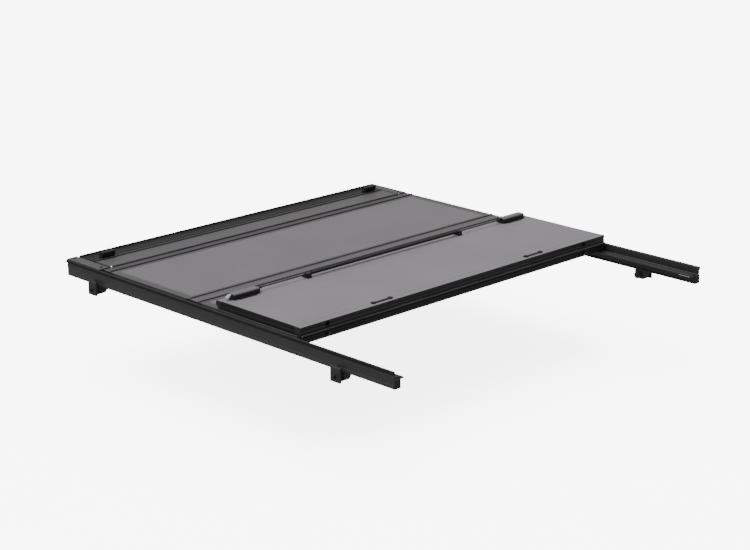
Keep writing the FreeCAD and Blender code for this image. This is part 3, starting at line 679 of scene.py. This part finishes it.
def cross_rails():
    wide = PANEL_HALF - 2 * MM
    narrow = NARROW_HALF - 4 * MM
    width = RAIL_WIDTH
    grey = [CROSS_COAT, HINGE_COAT, NYLON]
    # Hinge 2's knuckles take link 2's lighter tone in place of the hinge coat: painted light that washes out
    # the shade in that hinge's gaps
    light = [CROSS_COAT, LINK_2_COAT_AND_PAINTED_SHADE, NYLON]
    # Rails of the folded stack: painted shade as a near-black coat, the lighter hinge coat on the
    # upward-looking groove sides as painted highlight, and the bottom skin's coat on the faces that turn to
    # the top
    black = [STACK_RAIL_PAINTED_SHADE, HINGE_COAT, NYLON, BACK_COAT]
    # Panel 1's plate: its own coat, darkened as painted shade of the cab
    strip = [STRIP_COAT_AND_PAINTED_SHADE, HINGE_COAT, NYLON]

    plate = [(PIVOT_0, narrow, False), (PIVOT_1F, narrow, True)]
    cross_rail("panel_1_plate", "panel_1", PIVOT_1F + GAP, PIVOT_0 - GAP, narrow, plate, strip)

    front = PIVOT_1R - GAP
    hinge = [(PIVOT_1R, wide, False)]
    cross_rail("panel_2_front_rail", "panel_2", front - width, front, PANEL_HALF, hinge, grey)
    rear = PIVOT_2F + GAP
    hinge = [(PIVOT_2F, wide, True)]
    cross_rail("panel_2_rear_rail", "panel_2", rear, rear + width, PANEL_HALF, hinge, light)

    front = PIVOT_2R - GAP
    hinge = [(PIVOT_2R, wide, False)]
    cross_rail("panel_3_front_rail", "panel_3", front - width, front, PANEL_HALF, hinge, light)
    rear = PIVOT_3 + GAP
    hinge = [(PIVOT_3, wide, True)]
    cross_rail("panel_3_rear_rail", "panel_3", rear, rear + width, PANEL_HALF, hinge, black)

    front = PIVOT_3 - GAP
    hinge = [(PIVOT_3, wide, False)]
    rear = front - PANEL_4_FRONT_RAIL
    both = (-GUIDE_X, GUIDE_X)
    cross_rail("panel_4_front_rail", "panel_4", rear, front, PANEL_HALF, hinge, black, True, both)
    end = 2 * PIVOT_3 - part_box("panel_4_rear_rail")[1].y
    cross_rail("panel_4_rear_rail", "panel_4", end, end + PANEL_4_REAR_RAIL, PANEL_HALF, [], black, True)


def hinge_link(name, body, front, rear, front_half, rear_half, materials):
    """The strip between two hinge axes, with a web under each edge and a shallow channel along its top."""
    y0 = front - GAP
    y1 = rear + GAP
    web = 3 * MM
    foot = TOP - 10 * MM
    skin = TOP - 3 * MM
    r = 0.4 * MM
    groove = 0.5 * MM
    corners = [
        (y0, TOP, 0.8 * MM),
        (y0, foot, r),
        (y0 - web, foot, r),
        (y0 - web, skin, 1.2 * MM),
        (y1 + web, skin, 1.2 * MM),
        (y1 + web, foot, r),
        (y1, foot, r),
        (y1, TOP, 0.8 * MM),
        (y1 + 4.5 * MM, TOP, r),
        (y1 + 5.5 * MM, TOP - groove, r),
        (y0 - 5.5 * MM, TOP - groove, r),
        (y0 - 4.5 * MM, TOP, r),
    ]
    bm = bmesh.new()
    half = PANEL_HALF - 1 * MM
    add_bar(bm, rounded(corners), "x", -half, half)
    add_knuckles(bm, front, front_half, False)
    add_knuckles(bm, rear, rear_half, True)
    eased(piece(name + "_strip", bm, body, materials, [name]), 0.25 * MM)


def link_caps(name, body, front, rear):
    """Soft blocks under both ends of a link, which close the channel between the two panels."""
    fit = 0.5 * MM
    y0 = front - GAP - 3 * MM
    y1 = rear + GAP + 3 * MM
    foot = TOP - 10 * MM
    corners = [
        (y0, TOP - 3.3 * MM, 0.5 * MM),
        (y0, foot - 0.3 * MM, 0.4 * MM),
        (front + GAP - fit, foot - 0.3 * MM, 0.8 * MM),
        (front + GAP - fit, BOTTOM + 2 * MM, 2.5 * MM),
        (rear - GAP + fit, BOTTOM + 2 * MM, 2.5 * MM),
        (rear - GAP + fit, foot - 0.3 * MM, 0.8 * MM),
        (y1, foot - 0.3 * MM, 0.4 * MM),
        (y1, TOP - 3.3 * MM, 0.5 * MM),
    ]
    bm = bmesh.new()
    for side in (-1, 1):
        add_bar(bm, rounded(corners), "x", side * (PANEL_HALF - 14 * MM), side * (PANEL_HALF - 1.5 * MM))
    eased(piece(name + "_foam_ends", bm, body, [RUBBER]), 0.5 * MM)


def gasket(name, body, pivot, half, side):
    """A rubber web under a hinge, fixed to the part on one side and touching the part on the other."""
    root = pivot + side * GAP
    tip = pivot - side * (GAP - 0.15 * MM)
    corners = [
        (root, -1.6 * MM, 0),
        (tip, -2.4 * MM, 0.5 * MM),
        (tip, -5.2 * MM, 1.2 * MM),
        (root, -6.0 * MM, 0),
    ]
    bm = bmesh.new()
    add_bar(bm, rounded(corners), "x", -half, half)
    piece(name + "_gasket", bm, body, [RUBBER])


def gaskets():
    wide = PANEL_HALF - 1.5 * MM
    narrow = NARROW_HALF - 4 * MM
    gasket("header_hinge", "panel_1", PIVOT_0, narrow, -1)
    gasket("hinge_1_front", "link_1", PIVOT_1F, narrow, -1)
    gasket("hinge_1_rear", "link_1", PIVOT_1R, wide, 1)
    gasket("hinge_2_front", "link_2", PIVOT_2F, wide, -1)
    gasket("hinge_2_rear", "link_2", PIVOT_2R, wide, 1)
    gasket("hinge_3", "panel_3", PIVOT_3, wide, 1)


def hinge_links():
    wide = PANEL_HALF - 2 * MM
    narrow = NARROW_HALF - 4 * MM
    # The links' own coats, darkened as painted shade of the cab
    hinge_link("hinge_link_1", "link_1", PIVOT_1F, PIVOT_1R, narrow, wide, [LINK_1_COAT_AND_PAINTED_SHADE, HINGE_COAT])
    # Link 2's knuckles take its strip's tone in place of the hinge coat: painted light that washes out the
    # shade in hinge 2's gaps
    hinge_link("hinge_link_2", "link_2", PIVOT_2F, PIVOT_2R, wide, wide, [LINK_2_COAT_AND_PAINTED_SHADE, LINK_2_COAT_AND_PAINTED_SHADE])
    link_caps("hinge_link_1", "link_1", PIVOT_1F, PIVOT_1R)
    link_caps("hinge_link_2", "link_2", PIVOT_2F, PIVOT_2R)
    pin_caps()


def pin_caps():
    """A bright domed cap on each end of hinge 1's front pin."""
    radius = 3.3 * MM
    length = 6.0 * MM
    quarter = [math.radians(15 * k) for k in range(6)]
    dome = [(length - radius + radius * math.sin(t), radius * math.cos(t)) for t in quarter]
    bm = bmesh.new()
    for side in (-1, 1):
        centre = (side * (NARROW_HALF - 3.6 * MM), PIVOT_1F, PIVOT_Z)
        add_turned(bm, [(0, radius * 0.85), (0.4 * MM, radius), *dome], "x", centre, 24, side)
    piece("hinge_1_pin_caps", bm, "link_1", [CHROME], smooth=50.0)


def header():
    """The header: a flange on the bulkhead and a hollow beam, with reeding along its top."""
    low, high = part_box("header_beam")
    rear = PIVOT_0 + GAP
    top = HEADER_THICK
    r = 0.6 * MM
    groove = 0.7 * MM
    corners = [
        (rear, top, 0.8 * MM),
        (rear, low.z, 1.2 * MM),
        (-SEAT_HALF, low.z, 1.2 * MM),
        (-SEAT_HALF, 0, r),
        (high.y, 0, r),
        (high.y, top, 0.8 * MM),
    ]
    for middle in REEDS:
        corners += [
            (middle + 2 * groove, top, 0.3 * MM),
            (middle + groove, top - groove, 0.3 * MM),
            (middle - groove, top - groove, 0.3 * MM),
            (middle - 2 * groove, top, 0.3 * MM),
        ]
    bm = bmesh.new()
    add_bar(bm, rounded(corners), "x", -NARROW_HALF, NARROW_HALF)
    flange = rounded([
        (-SEAT_HALF, 0, 0),
        (SEAT_HALF, 0, r),
        (SEAT_HALF, top, 0.8 * MM),
        (-SEAT_HALF, top, 0),
    ])
    for side in (-1, 1):
        add_bar(bm, flange, "x", side * (NARROW_HALF - 1 * MM), side * high.x)
    add_knuckles(bm, PIVOT_0, NARROW_HALF - 4 * MM, True)
    # The header's own coat, darkened as painted shade of the cab
    materials = [HEADER_COAT_AND_PAINTED_SHADE, HINGE_COAT]
    made = piece("header_extrusion", bm, "bed_frame", materials, ["header_beam"])
    eased(made, 0.25 * MM)


def side_groove(outer, middle):
    """A V groove in the rail's outer face."""
    return [
        (outer, middle + GROOVE_HALF, 0.2 * MM),
        (outer - GROOVE_DEEP, middle, 0.2 * MM),
        (outer, middle - GROOVE_HALF, 0.2 * MM),
    ]


def side_rail(side, sign):
    """A side rail: the ledge over a closed chamber, and the grooved flange outside it."""
    low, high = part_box("side_rail_" + side)
    inner = min(abs(low.x), abs(high.x))
    outer = max(abs(low.x), abs(high.x))
    wall = outer - 4 * MM
    grip = outer - 1.5 * MM
    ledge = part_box("rail_seals")[0].z
    ledge_low = ledge - RAIL_WALL
    lip = ledge + RAIL_LIP
    foot = low.z
    floor = foot + RAIL_WALL
    web = inner + RAIL_WEB
    section = [
        (inner, ledge_low, 0.6 * MM),
        (inner, lip, 1.0 * MM),
        (inner + RAIL_LIP, lip, 1.0 * MM),
        (inner + RAIL_LIP, ledge, 0.4 * MM),
        (wall, ledge, 1.2 * MM),
        (wall, high.z, 0.7 * MM),
        (grip, high.z, 0.7 * MM),
        (grip, SEAL_LOW, 0.3 * MM),
        (outer, SEAL_LOW, 0.8 * MM),
        *side_groove(outer, GROOVE_HIGH),
        (outer, RECESS_HIGH, 0.3 * MM),
        (outer - RECESS_DEEP, RECESS_HIGH - RECESS_DEEP, 0.3 * MM),
        (outer - RECESS_DEEP, RECESS_LOW + RECESS_DEEP, 0.3 * MM),
        (outer, RECESS_LOW, 0.3 * MM),
        *side_groove(outer, GROOVE_LOW),
        (outer, foot, 1.2 * MM),
        (inner + RAIL_FOOT, foot, 1.0 * MM),
        (inner + RAIL_FOOT, floor, 1.0 * MM),
        (web, floor, 1.5 * MM),
        (web, ledge_low, 1.5 * MM),
    ]
    chamber = [
        (web + RAIL_WALL, floor, 1.0 * MM),
        (web + RAIL_WALL, ledge_low, 1.0 * MM),
        (wall - RAIL_LIP, ledge_low, 1.0 * MM),
        (wall - RAIL_LIP, floor, 1.0 * MM),
    ]
    lines = [[Vector((sign * p.x, p.y)) for p in rounded(corners)] for corners in (section, chamber)]
    bm = bmesh.new()
    add_hollow_bar(bm, lines, "y", low.y, high.y)
    name = "side_rail_" + side
    eased(piece(name + "_extrusion", bm, "bed_frame", [RAIL_COAT], [name]), 0.25 * MM)


# ---------------------------------------------------------------- rubber and wire


def header_foam():
    """A foam strip between each end of the header's beam and its end block."""
    low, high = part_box("header_beam")
    fit = 0.2 * MM
    rear = low.y + 8 * MM
    front = -10 * MM
    foot = low.z + 2 * MM
    r = 1.0 * MM
    outline = rounded([(rear, foot, r), (rear, -fit, r), (front, -fit, r), (front, foot, r)])
    bm = bmesh.new()
    for side in (-1, 1):
        add_bar(bm, outline, "x", side * (NARROW_HALF + fit), side * (high.x - fit))
    piece("header_foam_ends", bm, "bed_frame", [RUBBER])


def edge_wipers():
    """A soft strip from each end block's inner face, which closes the gap beside panel 1."""
    low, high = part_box("header_beam")
    tip = NARROW_HALF + 0.4 * MM
    r = 0.8 * MM
    corners = [(tip, -7 * MM, r), (high.x, -7 * MM, r), (high.x, -12 * MM, r), (tip, -12 * MM, r)]
    bm = bmesh.new()
    for side in (-1, 1):
        outline = [Vector((side * p.x, p.y)) for p in rounded(corners)]
        add_bar(bm, outline, "y", PIVOT_1F - 2 * MM, low.y + 7.8 * MM)
    piece("panel_1_edge_wipers", bm, "bed_frame", [RUBBER])


def latch_coil(side, sign):
    """The coil spring behind a latch's bolt."""
    name = "latch_spring_" + side
    low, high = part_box(name)
    near = min(abs(low.x), abs(high.x)) + COIL_WIRE_R
    far = max(abs(low.x), abs(high.x)) - COIL_WIRE_R
    middle = (low + high) / 2
    radius = (high.y - low.y) / 2 - COIL_WIRE_R
    steps = COIL_TURNS * COIL_STEPS
    along = Vector((1, 0, 0))
    bm = bmesh.new()
    rings = []
    for k in range(steps + 1):
        turn = 2 * math.pi * k / COIL_STEPS
        out = Vector((0, math.cos(turn), math.sin(turn)))
        centre = Vector((sign * (near + (far - near) * k / steps), middle.y, middle.z)) + radius * out
        ring = circle(0, 0, COIL_WIRE_R, COIL_SIDES)
        rings.append([bm.verts.new(centre + p.x * out + p.y * along) for p in ring])
    for first, second in zip(rings, rings[1:]):
        for i in range(COIL_SIDES):
            k = (i + 1) % COIL_SIDES
            bm.faces.new((first[i], first[k], second[k], second[i]))
    bm.faces.new(rings[0])
    bm.faces.new(rings[-1][::-1])
    made = piece("latch_coil_" + side, bm, "panel_4", [ZINC], [name])
    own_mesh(made)


def wire_bridge(side, sign):
    """The short bare length of wire between the grip and its clip."""
    low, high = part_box("release_sleeve")
    middle = (low + high) / 2
    start = high.x - 2 * MM
    end = start + 12 * MM
    bm = bmesh.new()
    steps = 12
    profile = [((end - start) * k / steps, 1.95 * MM) for k in range(steps + 1)]
    add_turned(bm, profile, "x", (sign * start, middle.y, middle.z), 20, sign)
    made = piece("wire_bridge_" + side, bm, None, [BLACK_STEEL])
    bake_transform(made)


def bulkhead_bulb():
    """The D-shaped bulb along the header's front edge."""
    low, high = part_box("bulkhead_seal")
    r = 4.4 * MM
    corners = [
        (low.y, 0, 0.3 * MM),
        (high.y - 0.6 * MM, 0, 3.0 * MM),
        (high.y - 0.6 * MM, 2 * r, r * 0.95),
        (low.y + 3 * MM, 2 * r, r * 0.5),
        (low.y + 2 * MM, 2.5 * MM, 0.6 * MM),
        (low.y, 2.5 * MM, 0.3 * MM),
    ]
    bm = bmesh.new()
    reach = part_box("header_beam")[1].x - 0.2 * MM
    add_bar(bm, rounded(corners, 6), "x", -reach, reach)
    piece("bulkhead_bulb", bm, "bed_frame", [RUBBER], ["bulkhead_seal"])


def tailgate_bulb():
    """The soft strip along panel 4's rear edge: a bulb over a thin lip."""
    low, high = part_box("tailgate_seal")
    mid = (low.z + high.z) / 2
    tall = (high.z - low.z) / 2
    corners = [
        (low.y, mid - tall, 0.8 * MM),
        (high.y - 4 * MM, mid - tall, 2.5 * MM),
        (high.y, mid - 4 * MM, 3.0 * MM),
        (high.y, mid + 4 * MM, 3.0 * MM),
        (high.y - 4 * MM, mid + tall, 2.5 * MM),
        (low.y, mid + tall, 0.8 * MM),
    ]
    bm = bmesh.new()
    add_bar(bm, rounded(corners, 6), "x", low.x, high.x)
    piece("tailgate_bulb", bm, "panel_4", [RUBBER], ["tailgate_seal"])


# ---------------------------------------------------------------- camera, floor and light


def add_camera():
    camera = bpy.data.cameras.new("camera")
    camera.sensor_width = CAMERA_SENSOR
    camera.lens = CAMERA_LENS
    made = bpy.data.objects.new("camera", camera)
    made.location = CAMERA_PLACE
    made.rotation_mode = "QUATERNION"
    made.rotation_quaternion = (Vector(CAMERA_AIM) - made.location).to_track_quat("-Z", "Y")
    bpy.context.scene.collection.objects.link(made)
    bpy.context.scene.camera = made


def add_floor():
    bm = bmesh.new()
    bmesh.ops.create_grid(bm, x_segments=1, y_segments=1, size=60)
    mesh = bpy.data.meshes.new("floor")
    bm.to_mesh(mesh)
    bm.free()
    n = Nodes("studio_floor")
    mottle = n.noise(1.5, 3.0, 0.5)
    colour = n.shades(mottle, (0.88, 0.88, 0.88), (0.9, 0.9, 0.9))
    material = n.finish(colour, Roughness=0.9, Specular_IOR_Level=0.1, Emission_Strength=5.0)
    mesh.materials.append(material)
    floor = bpy.data.objects.new("floor", mesh)
    floor.location.z = FLOOR_Z
    floor.visible_glossy = False
    floor.visible_diffuse = False
    bpy.context.scene.collection.objects.link(floor)


def add_area(name, place, aim, size, watts):
    light = bpy.data.lights.new(name, "AREA")
    light.shape = "RECTANGLE"
    light.size, light.size_y = size
    light.energy = watts
    made = bpy.data.objects.new(name, light)
    made.location = place
    made.rotation_mode = "QUATERNION"
    made.rotation_quaternion = (Vector(aim) - Vector(place)).to_track_quat("-Z", "Y")
    bpy.context.scene.collection.objects.link(made)


def add_sun(name, towards, angle, strength):
    light = bpy.data.lights.new(name, "SUN")
    light.angle = math.radians(angle)
    light.energy = strength
    made = bpy.data.objects.new(name, light)
    made.rotation_mode = "QUATERNION"
    made.rotation_quaternion = Vector(towards).to_track_quat("-Z", "Y")
    bpy.context.scene.collection.objects.link(made)


def add_light():
    world = bpy.data.worlds.new("studio")
    bpy.context.scene.world = world
    world.use_nodes = True
    world.node_tree.nodes["Background"].inputs["Color"].default_value = (1, 1, 1, 1)
    world.node_tree.nodes["Background"].inputs["Strength"].default_value = 0.7
    add_sun("overhead", (0.25, -0.2, -1.0), 60, 9.0)
    add_area("left_fill", (-4.0, -2.5, 2.2), (0, -0.8, 0), (2.5, 2.0), 40)


keep_nodes()
coat_and_highlight_latch_tops()
cross_rails()
hinge_links()
gaskets()
header()
header_foam()
edge_wipers()
bulkhead_bulb()
tailgate_bulb()
for side_name, side_sign in SIDES:
    side_rail(side_name, side_sign)
    wire_bridge(side_name, side_sign)
    latch_coil(side_name, side_sign)
add_camera()
add_floor()
add_light()
